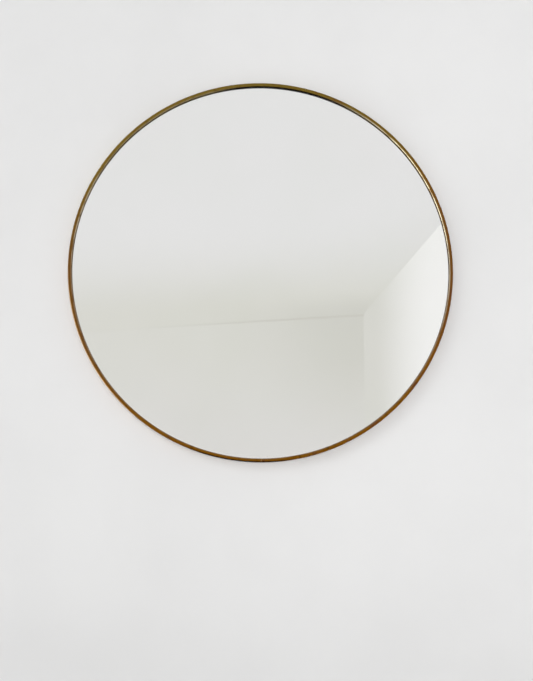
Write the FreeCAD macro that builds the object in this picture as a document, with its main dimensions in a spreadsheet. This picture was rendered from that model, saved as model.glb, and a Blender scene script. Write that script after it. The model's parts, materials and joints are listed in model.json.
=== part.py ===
import FreeCAD, Part
import math
import os
import re
import Sketcher

# Round wall mirror in a thin brass ring.
# A brass angle is bent into a ring and butted at the bottom over a riveted joint plate.
# The glass lies behind the ring's lip, with cork spacers round its edge, and behind it lie
# a packing card and a plywood board. Countersunk screws through the ring's side wall hold the
# board, and a strap with a swinging D-ring on the board hangs the mirror on a hook.
# Axes: +X to the viewer's right, +Y into the wall, +Z up. The wall plane is y = 0, and the
# origin lies on the ring's axis. Lengths are millimetres and angles are degrees.

# Sizes that can be set one by one
SIZES = {
    # Brass ring
    "frame_diameter": 700,
    "lip_overlap": 3.5,
    "lip_thickness": 3,
    "shoulder_radius": 1.8,
    "wall_thickness": 1.5,
    "seam_gap": 0.3,
    # Glass and what lies behind it
    "glass_thickness": 4,
    "glass_edge_gap": 2,
    "card_thickness": 1,
    "card_edge_gap": 3,
    "board_thickness": 9,
    "board_edge_gap": 0.4,
    "hanger_wall_gap": 1.48,
    # Cork spacers and bumpers
    "spacer_count": 8,
    "spacer_length": 20,
    "spacer_clearance": 0.1,
    "bumper_count": 4,
    "bumper_diameter": 22,
    "bumper_edge_distance": 18,
    # Screws through the ring's side wall
    "frame_screw_count": 12,
    "frame_screw_diameter": 2.5,
    "frame_screw_head_diameter": 4.5,
    "frame_screw_length": 16,
    "frame_screw_tip": 4,
    "head_sink": 0.1,
    # Joint plate and rivets at the seam
    "plate_thickness": 1.5,
    "plate_width": 13,
    "plate_end_margin": 6.5,
    "plate_wall_distance": 2,
    "rivets_each_side": 2,
    "rivet_pitch": 11,
    "rivet_diameter": 2.5,
    "rivet_head_diameter": 4.5,
    "rivet_head_height": 1,
    "notch_clearance": 1,
    # Strap and its screws
    "hanger_drop": 75,
    "strap_width": 16,
    "strap_thickness": 1.2,
    "strap_end_radius": 5,
    "strap_end_margin": 10,
    "hanger_screw_count": 2,
    "hanger_screw_drop": 10,
    "hanger_screw_pitch": 18,
    "hanger_screw_diameter": 3,
    "hanger_screw_head_diameter": 6,
    "hanger_screw_head_height": 2,
    "hanger_screw_head_bevel": 0.7,
    "hanger_screw_tip": 3,
    "hanger_screw_cover": 2,
    # D-ring
    "ring_wire": 3,
    "ring_corner_radius": 3.25,
    "ring_leg": 3,
    "ring_side_gap": 1.25,
    "hinge_clearance": 0.06,
    # Shared by the fasteners
    "slot_width": 0.7,
    "slot_depth": 0.5,
    "fastener_clearance": 0.05,
    "cut_margin": 1,
}

# Sizes that follow from the ones above
FORMULAS = {
    # Radii of the ring and of what it holds
    "outer_radius": "frame_diameter / 2",
    "wall_inner_radius": "outer_radius - wall_thickness",
    "glass_radius": "wall_inner_radius - glass_edge_gap",
    "lip_inner_radius": "glass_radius - lip_overlap",
    "face_width": "outer_radius - lip_inner_radius",
    "shoulder": "min(shoulder_radius; 0.9 * lip_thickness; 0.45 * face_width)",
    "card_radius": "wall_inner_radius - card_edge_gap",
    "board_radius": "wall_inner_radius - board_edge_gap",
    "flush_radius": "outer_radius - head_sink",
    "sunk_depth": "wall_thickness - head_sink",
    "seam_angle": "seam_gap / outer_radius * 180 / pi",
    # Eye of the strap and D-ring
    "bore_radius": "ring_wire / 2 + hinge_clearance",
    "roll_radius": "bore_radius + strap_thickness",
    "hinge_height": "outer_radius - hanger_drop",
    "ring_half_bar": "strap_width / 2 + ring_side_gap",
    "ring_half_width": "ring_half_bar + ring_corner_radius",
    "ring_bow_height": "ring_corner_radius + ring_leg",
    # Distances of the layers from the wall
    "board_back": "2 * roll_radius + hanger_wall_gap",
    "board_front": "board_back + board_thickness",
    "glass_back": "board_front + card_thickness",
    "glass_front": "glass_back + glass_thickness",
    "frame_depth": "glass_front + lip_thickness",
    "hinge_distance": "board_back - roll_radius",
    # Spacers and bumpers
    "spacer_inner_radius": "glass_radius + spacer_clearance",
    "spacer_outer_radius": "wall_inner_radius - spacer_clearance",
    "first_spacer_angle": "180 + 180 / spacer_count",
    "spacer_angle": "spacer_length / glass_radius * 180 / pi",
    "bumper_offset": "(board_radius - bumper_edge_distance - bumper_diameter / 2) / sqrt(2)",
    # Screws through the ring's side wall
    "first_screw_angle": "180 + 180 / frame_screw_count",
    "frame_screw_distance": "board_back + board_thickness / 2",
    "frame_screw_radius": "frame_screw_diameter / 2",
    "frame_screw_head_radius": "frame_screw_head_diameter / 2",
    "frame_screw_head_height": "min(frame_screw_head_radius - frame_screw_radius; sunk_depth)",
    "frame_screw_end": "flush_radius - frame_screw_length",
    # Joint plate and rivets
    "rivet_count": "2 * rivets_each_side",
    "plate_inner_radius": "wall_inner_radius - plate_thickness",
    "plate_length": "(rivet_count - 1) * rivet_pitch + 2 * plate_end_margin",
    "plate_angle": "plate_length / wall_inner_radius * 180 / pi",
    "plate_centre_distance": "plate_wall_distance + plate_width / 2",
    "rivet_span_angle": "(rivet_count - 1) * rivet_pitch / wall_inner_radius * 180 / pi",
    "first_rivet_angle": "180 - rivet_span_angle / 2",
    "rivet_radius": "rivet_diameter / 2",
    "rivet_head_radius": "rivet_head_diameter / 2",
    "rivet_cone_height": "min(rivet_head_radius - rivet_radius; sunk_depth)",
    "notch_half_length": "plate_length / 2 + notch_clearance",
    "plate_lowest": "sqrt(plate_inner_radius ^ 2 - (plate_length / 2) ^ 2)",
    "notch_floor": "plate_lowest - rivet_head_height - notch_clearance",
    # Screws of the strap
    "strap_length": "hanger_screw_drop + hanger_screw_span + strap_end_margin",
    "strap_end": "min(strap_end_radius; 0.45 * strap_width)",
    "hanger_screw_span": "(hanger_screw_count - 1) * hanger_screw_pitch",
    "hanger_screw_radius": "hanger_screw_diameter / 2",
    "hanger_screw_head_radius": "hanger_screw_head_diameter / 2",
    "hanger_screw_depth": "board_thickness - hanger_screw_cover",
    "strap_front": "board_back - strap_thickness",
}

START, END, CENTRE = 1, 2, 3
ORIGIN = -1

doc = FreeCAD.newDocument("round_mirror")
sheet = doc.addObject("Spreadsheet::Sheet", "sizes")


def fill_sheet():
    """Write each size in a row of its own: the name, and the number or formula under that alias."""
    cells = {name: str(number) for name, number in SIZES.items()}
    cells.update({name: "=" + formula for name, formula in FORMULAS.items()})
    for row, (name, text) in enumerate(cells.items(), start=1):
        sheet.set(f"A{row}", name)
        sheet.setAlias(f"B{row}", name)
        sheet.set(f"B{row}", text)
    doc.recompute()


def expression(text):
    """Turn plain names of sizes into references to the sheet."""
    def reference(match):
        word = match.group()
        return f"sizes.{word}" if word in SIZES or word in FORMULAS else word
    return re.sub(r"[a-z_]+", reference, text)


def number(text):
    """Work out an expression of sizes."""
    return float(sheet.evalExpression(expression(text)))


def place(corner):
    """Work out the point that a pair of expressions gives."""
    across, up = corner
    return FreeCAD.Vector(number(across), number(up), 0)


def bind(item, path, text):
    """Tie one property of a document object to an expression of sizes."""
    item.setExpression(path, expression(text))


def new_body(label, across="0", depth="0", up="0", several=False):
    """Start a sub-part, with its own origin at the given place."""
    body = doc.addObject("PartDesign::Body", label)
    body.Label = label
    body.AllowCompound = several
    bind(body, "Placement.Base.x", across)
    bind(body, "Placement.Base.y", depth)
    bind(body, "Placement.Base.z", up)
    return body


def origin_feature(body, role):
    return next(item for item in body.Origin.OriginFeatures if item.Role == role)


def new_sketch(body, name, plane, turn=None, across=None, lift=None):
    """Open a sketch on one of the body's origin planes.

    turn rotates it about its own first axis, across shifts it along that axis, and lift moves it
    along its normal.
    """
    sketch = body.newObject("Sketcher::SketchObject", f"{body.Label}_{name}")
    sketch.AttachmentSupport = [(origin_feature(body, plane), "")]
    sketch.MapMode = "FlatFace"
    if turn:
        rotation = FreeCAD.Rotation(FreeCAD.Vector(1, 0, 0), number(turn))
        sketch.AttachmentOffset = FreeCAD.Placement(FreeCAD.Vector(), rotation)
        bind(sketch, ".AttachmentOffset.Rotation.Angle", turn)
    if across:
        bind(sketch, ".AttachmentOffset.Base.x", across)
    if lift:
        bind(sketch, ".AttachmentOffset.Base.z", lift)
    return sketch


def dimension(sketch, kind, geometry, point, text):
    """Set the signed distance of a point from the sketch's origin."""
    rule = Sketcher.Constraint(kind, ORIGIN, START, geometry, point, number(text))
    index = sketch.addConstraint(rule)
    bind(sketch, f"Constraints[{index}]", text)


def circle(sketch, across, up, radius):
    centre = place((across, up))
    geometry = sketch.addGeometry(Part.Circle(centre, FreeCAD.Vector(0, 0, 1), number(radius)))
    dimension(sketch, "DistanceX", geometry, CENTRE, across)
    dimension(sketch, "DistanceY", geometry, CENTRE, up)
    index = sketch.addConstraint(Sketcher.Constraint("Radius", geometry, number(radius)))
    bind(sketch, f"Constraints[{index}]", radius)


def arc(first, last, centre):
    """Make the arc that runs anticlockwise from one point to another."""
    start = first - centre
    finish = last - centre
    start_angle = math.atan2(start.y, start.x)
    turn = (math.atan2(finish.y, finish.x) - start_angle) % (2 * math.pi)
    whole = Part.Circle(centre, FreeCAD.Vector(0, 0, 1), start.Length)
    return Part.ArcOfCircle(whole, start_angle, start_angle + turn)


def outline(sketch, corners, centres={}):
    """Draw a closed outline through its corners, each with its two coordinates set.

    The stretch after a corner is a line or, where centres has that corner's index, an arc that runs
    anticlockwise about the centre given there.
    """
    points = [place(corner) for corner in corners]
    following_points = points[1:] + points[:1]
    stretches = []
    for index, (first, last) in enumerate(zip(points, following_points)):
        if index in centres:
            shape = arc(first, last, place(centres[index]))
        else:
            shape = Part.LineSegment(first, last)
        stretches.append(sketch.addGeometry(shape))
    for stretch, following in zip(stretches, stretches[1:] + stretches[:1]):
        sketch.addConstraint(Sketcher.Constraint("Coincident", stretch, END, following, START))
    for stretch, (across, up) in zip(stretches, corners):
        dimension(sketch, "DistanceX", stretch, START, across)
        dimension(sketch, "DistanceY", stretch, START, up)
    for index, (across, up) in centres.items():
        chord = following_points[index] - points[index]
        if abs(chord.x) > abs(chord.y):
            dimension(sketch, "DistanceY", stretches[index], CENTRE, up)
        else:
            dimension(sketch, "DistanceX", stretches[index], CENTRE, across)


def rectangle(sketch, left, right, bottom, top):
    outline(sketch, [(left, bottom), (right, bottom), (right, top), (left, top)])


def revolve(body, sketch, axis, angle="360"):
    """Turn the sketch about one of its axes, half of the angle to each side."""
    feature = body.newObject("PartDesign::Revolution", f"{sketch.Label}_turned")
    feature.Profile = sketch
    feature.ReferenceAxis = (sketch, [axis])
    feature.Midplane = True
    bind(feature, "Angle", angle)
    return feature


def groove(body, sketch, axis):
    feature = body.newObject("PartDesign::Groove", f"{sketch.Label}_turned_cut")
    feature.Profile = sketch
    feature.ReferenceAxis = (sketch, [axis])
    feature.Angle = 360
    return feature


def pad(body, sketch, length, middle=False):
    feature = body.newObject("PartDesign::Pad", f"{sketch.Label}_padded")
    feature.Profile = sketch
    feature.Midplane = middle
    bind(feature, "Length", length)
    return feature


def cut_through(body, sketch):
    """Cut the sketch's outline right through the body, to both sides of its plane."""
    feature = body.newObject("PartDesign::Pocket", f"{sketch.Label}_cut")
    feature.Profile = sketch
    feature.Type = "ThroughAll"
    feature.Midplane = True
    return feature


def repeat_round(body, features, count, span="360"):
    """Repeat features about the ring's axis."""
    pattern = body.newObject("PartDesign::PolarPattern", f"{features[-1].Label}_round")
    pattern.Originals = features
    pattern.Axis = (origin_feature(body, "Y_Axis"), [""])
    bind(pattern, "Angle", span)
    bind(pattern, "Occurrences", count)
    body.Tip = pattern
    return pattern


def repeat_down(body, features, count, span):
    """Repeat features straight down."""
    pattern = body.newObject("PartDesign::LinearPattern", f"{features[-1].Label}_down")
    pattern.Originals = features
    pattern.Direction = (origin_feature(body, "Z_Axis"), [""])
    pattern.Reversed = True
    bind(pattern, "Length", span)
    bind(pattern, "Occurrences", count)
    body.Tip = pattern
    return pattern


def disc(label, radius, front, back):
    """Make a flat disc on the ring's axis, between two distances from the wall."""
    body = new_body(label)
    section = new_sketch(body, "section", "YZ_Plane")
    rectangle(section, f"-{front}", f"-{back}", "0", radius)
    revolve(body, section, "H_Axis")
    return body


def ring_section(sketch):
    """Draw the brass angle's section: side wall, face with two round shoulders, lip and rear rim."""
    corners = [
        ("0", "outer_radius"),
        ("shoulder - frame_depth", "outer_radius"),
        ("-frame_depth", "outer_radius - shoulder"),
        ("-frame_depth", "lip_inner_radius + shoulder"),
        ("shoulder - frame_depth", "lip_inner_radius"),
        ("-glass_front", "lip_inner_radius"),
        ("-glass_front", "wall_inner_radius"),
        ("0", "wall_inner_radius"),
    ]
    centres = {
        1: ("shoulder - frame_depth", "outer_radius - shoulder"),
        3: ("shoulder - frame_depth", "lip_inner_radius + shoulder"),
    }
    outline(sketch, corners, centres)


def countersunk_hole(sketch, radius, head_radius, head_height):
    """Draw half of a hole through the ring's side wall, open for a flush head at the outside."""
    outline(sketch, [
        ("0", "wall_inner_radius - cut_margin"),
        (f"{radius} + fastener_clearance", "wall_inner_radius - cut_margin"),
        (f"{radius} + fastener_clearance", f"flush_radius - {head_height}"),
        (f"{head_radius} + fastener_clearance", "flush_radius"),
        (f"{head_radius} + fastener_clearance", "outer_radius + cut_margin"),
        ("0", "outer_radius + cut_margin"),
    ])


def make_frame():
    body = new_body("brass_frame")
    section = new_sketch(body, "section", "YZ_Plane")
    ring_section(section)
    revolve(body, section, "H_Axis", "360 - seam_angle")
    screw_hole = new_sketch(body, "screw_hole", "YZ_Plane", "first_screw_angle", "-frame_screw_distance")
    countersunk_hole(screw_hole, "frame_screw_radius", "frame_screw_head_radius", "frame_screw_head_height")
    doc.recompute()
    repeat_round(body, [groove(body, screw_hole, "V_Axis")], "frame_screw_count")
    rivet_hole = new_sketch(body, "rivet_hole", "YZ_Plane", "first_rivet_angle", "-plate_centre_distance")
    countersunk_hole(rivet_hole, "rivet_radius", "rivet_head_radius", "rivet_cone_height")
    doc.recompute()
    repeat_round(body, [groove(body, rivet_hole, "V_Axis")], "rivet_count", "rivet_span_angle")
    return body


def make_joint_plate():
    body = new_body("joint_plate")
    section = new_sketch(body, "section", "YZ_Plane", "180")
    rectangle(section, "-plate_wall_distance - plate_width", "-plate_wall_distance",
              "plate_inner_radius", "wall_inner_radius")
    revolve(body, section, "H_Axis", "plate_angle")
    hole = new_sketch(body, "rivet_hole", "YZ_Plane", "first_rivet_angle", "-plate_centre_distance")
    rectangle(hole, "0", "rivet_radius + fastener_clearance",
              "plate_inner_radius - cut_margin", "wall_inner_radius + cut_margin")
    doc.recompute()
    rivet_hole = groove(body, hole, "V_Axis")
    repeat_round(body, [rivet_hole], "rivet_count", "rivet_span_angle")
    return body


def make_joint_rivets():
    body = new_body("joint_rivets", depth="-plate_centre_distance", several=True)
    section = new_sketch(body, "section", "YZ_Plane", "first_rivet_angle")
    outline(section, [
        ("0", "plate_inner_radius - rivet_head_height"),
        ("rivet_head_radius", "plate_inner_radius - rivet_head_height"),
        ("rivet_head_radius", "plate_inner_radius - fastener_clearance"),
        ("rivet_radius", "plate_inner_radius - fastener_clearance"),
        ("rivet_radius", "flush_radius - rivet_cone_height"),
        ("rivet_head_radius", "flush_radius"),
        ("0", "flush_radius"),
    ])
    rivet = revolve(body, section, "V_Axis")
    repeat_round(body, [rivet], "rivet_count", "rivet_span_angle")
    return body


def make_edge_spacers():
    body = new_body("edge_spacers", several=True)
    section = new_sketch(body, "section", "YZ_Plane", "first_spacer_angle")
    rectangle(section, "-glass_front", "-glass_back", "spacer_inner_radius", "spacer_outer_radius")
    spacer = revolve(body, section, "H_Axis", "spacer_angle")
    repeat_round(body, [spacer], "spacer_count")
    return body


def make_back_board():
    """Make the plywood disc, with a notch for the joint plate and a pilot hole for every screw."""
    body = disc("back_board", "board_radius", "board_front", "board_back")
    notch = new_sketch(body, "notch", "XZ_Plane")
    rectangle(notch, "-notch_half_length", "notch_half_length",
              "-board_radius - cut_margin", "-notch_floor")
    doc.recompute()
    cut_through(body, notch)
    edge_hole = new_sketch(body, "edge_hole", "YZ_Plane", "first_screw_angle", "-frame_screw_distance")
    rectangle(edge_hole, "0", "frame_screw_radius + fastener_clearance",
              "frame_screw_end - fastener_clearance", "board_radius + cut_margin")
    doc.recompute()
    pilot = groove(body, edge_hole, "V_Axis")
    repeat_round(body, [pilot], "frame_screw_count")
    back_hole = new_sketch(body, "back_hole", "XY_Plane", lift="hinge_height - hanger_screw_drop")
    rectangle(back_hole, "0", "hanger_screw_radius + fastener_clearance",
              "-board_back - hanger_screw_depth - fastener_clearance", "-board_back + cut_margin")
    doc.recompute()
    strap_pilot = groove(body, back_hole, "V_Axis")
    repeat_down(body, [strap_pilot], "hanger_screw_count", "hanger_screw_span")
    return body


def make_frame_screws():
    body = new_body("frame_screws", depth="-frame_screw_distance", several=True)
    section = new_sketch(body, "section", "YZ_Plane", "first_screw_angle")
    outline(section, [
        ("0", "frame_screw_end"),
        ("frame_screw_radius", "frame_screw_end + frame_screw_tip"),
        ("frame_screw_radius", "flush_radius - frame_screw_head_height"),
        ("frame_screw_head_radius", "flush_radius"),
        ("0", "flush_radius"),
    ])
    screw = revolve(body, section, "V_Axis")
    slot = new_sketch(body, "slot", "YZ_Plane", "first_screw_angle")
    rectangle(slot, "-slot_width / 2", "slot_width / 2",
              "flush_radius - slot_depth", "flush_radius + cut_margin")
    doc.recompute()
    slot_cut = cut_through(body, slot)
    repeat_round(body, [screw, slot_cut], "frame_screw_count")
    return body


def make_hanger_strap():
    """Make the strap: a plate on the board, rolled at the top into the eye for the D-ring's bar."""
    body = new_body("hanger_strap", depth="-hinge_distance", up="hinge_height")
    plate = new_sketch(body, "plate", "XZ_Plane", lift="bore_radius")
    corners = [
        ("-strap_width / 2", "0"),
        ("-strap_width / 2", "strap_end - strap_length"),
        ("strap_end - strap_width / 2", "-strap_length"),
        ("strap_width / 2 - strap_end", "-strap_length"),
        ("strap_width / 2", "strap_end - strap_length"),
        ("strap_width / 2", "0"),
    ]
    centres = {
        1: ("strap_end - strap_width / 2", "strap_end - strap_length"),
        3: ("strap_width / 2 - strap_end", "strap_end - strap_length"),
    }
    outline(plate, corners, centres)
    pad(body, plate, "strap_thickness")
    roll = new_sketch(body, "roll", "YZ_Plane")
    circle(roll, "0", "0", "roll_radius")
    pad(body, roll, "strap_width", middle=True)
    bore = new_sketch(body, "bore", "YZ_Plane")
    circle(bore, "0", "0", "bore_radius")
    doc.recompute()
    cut_through(body, bore)
    hole = new_sketch(body, "screw_hole", "XZ_Plane")
    circle(hole, "0", "-hanger_screw_drop", "hanger_screw_radius + fastener_clearance")
    doc.recompute()
    screw_hole = cut_through(body, hole)
    repeat_down(body, [screw_hole], "hanger_screw_count", "hanger_screw_span")
    return body


def make_hanger_screws():
    first_height = "hinge_height - hanger_screw_drop"
    body = new_body("hanger_screws", depth="-strap_front", up=first_height, several=True)
    end = "-strap_thickness - hanger_screw_depth"
    section = new_sketch(body, "section", "XY_Plane")
    outline(section, [
        ("0", end),
        ("hanger_screw_radius", f"{end} + hanger_screw_tip"),
        ("hanger_screw_radius", "0"),
        ("hanger_screw_head_radius", "0"),
        ("hanger_screw_head_radius", "hanger_screw_head_height - hanger_screw_head_bevel"),
        ("hanger_screw_head_radius - hanger_screw_head_bevel", "hanger_screw_head_height"),
        ("0", "hanger_screw_head_height"),
    ])
    screw = revolve(body, section, "V_Axis")
    slot = new_sketch(body, "slot", "YZ_Plane")
    rectangle(slot, "hanger_screw_head_height - slot_depth", "hanger_screw_head_height + cut_margin",
              "-slot_width / 2", "slot_width / 2")
    doc.recompute()
    slot_cut = cut_through(body, slot)
    repeat_down(body, [screw, slot_cut], "hanger_screw_count", "hanger_screw_span")
    return body


def make_hanging_ring():
    """Bend the D-ring from round wire: a bar in the strap's eye, two legs and a half-round bow."""
    body = new_body("hanging_ring", depth="-hinge_distance", up="hinge_height")
    corners = [
        ("0", "0"),
        ("ring_half_bar", "0"),
        ("ring_half_width", "ring_corner_radius"),
        ("ring_half_width", "ring_bow_height"),
        ("-ring_half_width", "ring_bow_height"),
        ("-ring_half_width", "ring_corner_radius"),
        ("-ring_half_bar", "0"),
    ]
    centres = {
        1: ("ring_half_bar", "ring_corner_radius"),
        3: ("0", "ring_bow_height"),
        5: ("-ring_half_bar", "ring_corner_radius"),
    }
    path = new_sketch(body, "path", "XZ_Plane")
    outline(path, corners, centres)
    wire = new_sketch(body, "wire", "YZ_Plane")
    circle(wire, "0", "0", "ring_wire / 2")
    doc.recompute()
    pipe = body.newObject("PartDesign::AdditivePipe", "hanging_ring_bent")
    pipe.Profile = wire
    pipe.Spine = (path, [f"Edge{index}" for index in range(1, len(corners) + 1)])
    return body


def make_cork_bumpers():
    body = new_body("cork_bumpers", several=True)
    footprint = new_sketch(body, "footprint", "XZ_Plane")
    circle(footprint, "bumper_offset", "bumper_offset", "bumper_diameter / 2")
    bumper = pad(body, footprint, "board_back")
    repeat_round(body, [bumper], "bumper_count")
    return body


def check_document():
    """Stop if any object failed to build."""
    for item in doc.Objects:
        if "Invalid" in item.State or "Error" in item.State:
            raise RuntimeError(f"{item.Label} failed: {item.State}")


def write_parts(bodies):
    os.makedirs("parts", exist_ok=True)
    for body in bodies:
        if body.Shape.isNull() or not body.Shape.isValid():
            raise RuntimeError(f"{body.Label} has no valid shape")
    for body in bodies:
        body.Shape.exportStep(f"parts/{body.Label}.step")
        print(f"{body.Label}: {len(body.Shape.Solids)} solids, {body.Shape.Volume:.1f} mm3")


fill_sheet()
bodies = [
    make_frame(),
    make_joint_plate(),
    make_joint_rivets(),
    disc("mirror_glass", "glass_radius", "glass_front", "glass_back"),
    make_edge_spacers(),
    disc("packing_card", "card_radius", "glass_back", "board_front"),
    make_back_board(),
    make_frame_screws(),
    make_hanger_strap(),
    make_hanger_screws(),
    make_hanging_ring(),
    make_cork_bumpers(),
]
doc.recompute()
check_document()
write_parts(bodies)
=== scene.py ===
# %% [markdown]
# A round wall mirror in a thin brass ring
#
# On the real object a brass angle is bent into a ring and holds a pane of silvered glass. A card and a
# plywood board close the back, and a strap with a swinging D-ring hangs it all on a hook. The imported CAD
# model already gives each piece its size and its place, in metres: the wall is the plane y = 0, the mirror
# looks towards -Y, and +Z is up. So nothing is fitted by eye here. We load the model, rebuild the pieces
# that deserve rounder edges, and give every surface a finish made of shader nodes.

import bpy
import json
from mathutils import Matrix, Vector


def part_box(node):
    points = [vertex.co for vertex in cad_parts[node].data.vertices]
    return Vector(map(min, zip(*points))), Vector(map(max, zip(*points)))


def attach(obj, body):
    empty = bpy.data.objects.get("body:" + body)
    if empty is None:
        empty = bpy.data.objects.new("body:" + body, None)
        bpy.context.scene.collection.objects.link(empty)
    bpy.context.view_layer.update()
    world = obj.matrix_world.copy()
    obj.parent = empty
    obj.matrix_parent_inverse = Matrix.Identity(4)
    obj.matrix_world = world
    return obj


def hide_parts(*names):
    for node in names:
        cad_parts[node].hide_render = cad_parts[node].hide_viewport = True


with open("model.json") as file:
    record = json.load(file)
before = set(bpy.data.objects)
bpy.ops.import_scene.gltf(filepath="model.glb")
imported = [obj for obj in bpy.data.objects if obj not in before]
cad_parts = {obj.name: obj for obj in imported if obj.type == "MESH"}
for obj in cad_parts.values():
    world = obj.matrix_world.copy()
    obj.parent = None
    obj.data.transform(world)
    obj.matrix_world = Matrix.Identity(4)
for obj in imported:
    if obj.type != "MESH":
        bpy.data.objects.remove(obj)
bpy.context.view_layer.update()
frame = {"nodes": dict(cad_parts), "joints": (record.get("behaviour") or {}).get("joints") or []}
print("CAD nodes:", ", ".join(sorted(frame["nodes"])))

# %% [markdown]
# The camera
#
# The photograph looks almost straight at the mirror from a little below it. The place of the camera was
# worked out once from the ellipse that the ring draws in the photograph, and a camera only needs a place,
# a turn and a focal length. The Standard view shows a colour about as it is written.

# %% Camera
import math
import bpy

scene = bpy.context.scene
scene.view_settings.view_transform = "Standard"

lens = bpy.data.cameras.new("camera")
lens.lens = 49.96
camera = bpy.data.objects.new("camera", lens)
camera.location = (-0.034, -1.710, -0.338)
camera.rotation_euler = (math.radians(96.946), 0, math.radians(-1.47))
scene.collection.objects.link(camera)
scene.camera = camera
print("Camera", tuple(camera.location), "with a lens of", lens.lens, "mm")

# %% [markdown]
# Shader maths as Python sums
#
# A finish is a tree of shader nodes. Linking them one by one fills pages, so one small class wraps an output
# socket: adding or multiplying two of them adds a Math node, and the method called node adds any other
# kind. The settings of a node come first, because some of them change which sockets it has.

# %% A socket that can stand in a sum
class Wire:
    """An output socket in a node tree, or just the tree when a finish is begun."""

    def __init__(self, tree, socket=None):
        self.tree = tree
        self.socket = socket

    def node(self, kind, settings={}, sockets={}, output=0):
        """Adds a node, sets its settings, then its sockets, and gives back one of its outputs."""
        made = self.tree.nodes.new("ShaderNode" + kind)
        for name, value in settings.items():
            setattr(made, name, value)
        self.feed(made, sockets)
        return Wire(self.tree, made.outputs[output])

    def feed(self, made, sockets):
        """Links a wire to a socket, or writes a plain value into it."""
        for name, value in sockets.items():
            if isinstance(value, Wire):
                self.tree.links.new(value.socket, made.inputs[name])
            else:
                made.inputs[name].default_value = value

    def math(self, operation, other=0.0):
        """A Math node that has this wire as its first value."""
        return self.node("Math", {"operation": operation}, {0: self, 1: other})

    def __add__(self, other):
        return self.math("ADD", other)

    def __sub__(self, other):
        return self.math("SUBTRACT", other)

    def __mul__(self, other):
        return self.math("MULTIPLY", other)

    def __truediv__(self, other):
        return self.math("DIVIDE", other)

    def __pow__(self, power):
        return self.math("POWER", power)

    def __rsub__(self, other):
        return self.node("Math", {"operation": "SUBTRACT"}, {0: other, 1: self})

    __radd__ = __add__
    __rmul__ = __mul__

    def rise(self, low, high):
        """A soft step: 0 below low, 1 above high."""
        limits = {"Value": self, "From Min": low, "From Max": high}
        return self.node("MapRange", {"interpolation_type": "SMOOTHSTEP"}, limits)

    def blend(self, first, second):
        """The first colour where this wire is 0, the second where it is 1."""
        return self.node("Mix", {"data_type": "RGBA"}, {0: self, 6: first, 7: second}, output=2)


print("Sums of wires add Math nodes")

# %% [markdown]
# Colours and patterns that every finish shares
#
# The colours below are written as they look on a screen, from 0 to 255, and turned into the linear light
# that shaders count in. Patterns are given a size in metres, so that a grain of cork is as large as a real
# one, and they read Object coordinates, which stay with the piece.

# %% Helpers for finishes
def screen_colour(red, green, blue):
    """A colour as seen on a screen, 0 to 255, in the linear light of a shader."""
    linear = []
    for value in (red, green, blue):
        share = value / 255
        linear.append(share / 12.92 if share <= 0.04045 else ((share + 0.055) / 1.055) ** 2.4)
    return (*linear, 1.0)


def begin_finish(name):
    """A new material, its shader, and a wire on the place in the object."""
    material = bpy.data.materials.new(name)
    material.use_nodes = True
    shader = material.node_tree.nodes["Principled BSDF"]
    place = Wire(material.node_tree).node("TexCoord", output="Object")
    return material, shader, place


def axes_of(place):
    """The x, y and z of a place as three wires."""
    return [place.node("SeparateXYZ", {}, {0: place}, output=axis) for axis in range(3)]


def clouds(place, size, detail=2.0, distortion=0.0):
    """Soft noise from 0 to 1 whose patches are about as large as size, in metres."""
    sockets = {"Vector": place, "Scale": 1 / size, "Detail": detail, "Distortion": distortion}
    return place.node("TexNoise", {}, sockets)


def stretched(place, scale):
    """The same place with each axis squeezed or stretched, so that spots turn into streaks."""
    return place.node("Mapping", {}, {"Vector": place, "Scale": scale})


def bumped(height, distance):
    """A normal that follows a height, given in metres for a height of 1."""
    return height.node("Bump", {}, {"Height": height, "Distance": distance, "Strength": 1.0})


print("A mid grey of 128 is", round(screen_colour(128, 128, 128)[0], 3), "in linear light")

# %% [markdown]
# The studio
#
# A mirror shows what is in front of it, so the studio is part of its looks. The wall it hangs on is a plain
# pale sheet with a round hole behind the mirror: the hole never shows from the front, and from behind it lets
# light fall on the mirror's back. Seen from its back, the sheet itself is clear. Its colour carries painted
# shade: a trace darker low down and on the left. The pale floor far below gets little light, so it glows a
# little, but only for the rays that end in the camera.

# %% Wall and floor
import bmesh
from mathutils import Matrix, Vector


def to_object(name, shape, material):
    """Turns a bmesh into an object with one material, smooth except at sharp edges."""
    mesh = bpy.data.meshes.new(name)
    shape.to_mesh(mesh)
    shape.free()
    mesh.shade_smooth()
    mesh.set_sharp_from_angle(angle=math.radians(35))
    mesh.materials.append(material)
    thing = bpy.data.objects.new(name, mesh)
    scene.collection.objects.link(thing)
    return thing


def verts_of(geometry):
    """The vertices among the things that a bmesh operator gives back."""
    return [item for item in geometry if isinstance(item, bmesh.types.BMVert)]


def seen_part(wire):
    """1 for light that goes to the camera, straight or by way of metal and glass, and 0 for the rest."""
    seen = wire.node("LightPath", output="Is Camera Ray")
    for kind in ("Is Glossy Ray", "Is Transmission Ray"):
        seen = seen.math("MAXIMUM", wire.node("LightPath", output=kind))
    return seen


def pale_wall():
    """A matt wall with painted shade, a little darker low down and on the left, and clear when seen from its
    back.
    """
    material, shader, place = begin_finish("pale_wall")
    x, y, z = axes_of(place)
    mottle = clouds(place, 0.25, detail=4).rise(0.3, 0.7)
    # painted shade: the wall's colour is a little darker low down and on the left, with a random mottle
    lightness = 0.4 * x.rise(-0.5, 0.5) + 0.6 * z.rise(-0.8, -0.4) - 0.2 * mottle
    colour = lightness.blend(screen_colour(226, 226, 226), screen_colour(243, 243, 243))
    place.feed(shader, {"Base Color": colour, "Roughness": 0.9})
    back = place.node("NewGeometry", output="Backfacing")
    clear = place.node("BsdfTransparent")
    matt = Wire(place.tree, shader.outputs[0])
    mixed = place.node("MixShader", {}, {0: back, 1: matt, 2: clear})
    place.feed(place.tree.nodes["Material Output"], {"Surface": mixed})
    return material


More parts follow.
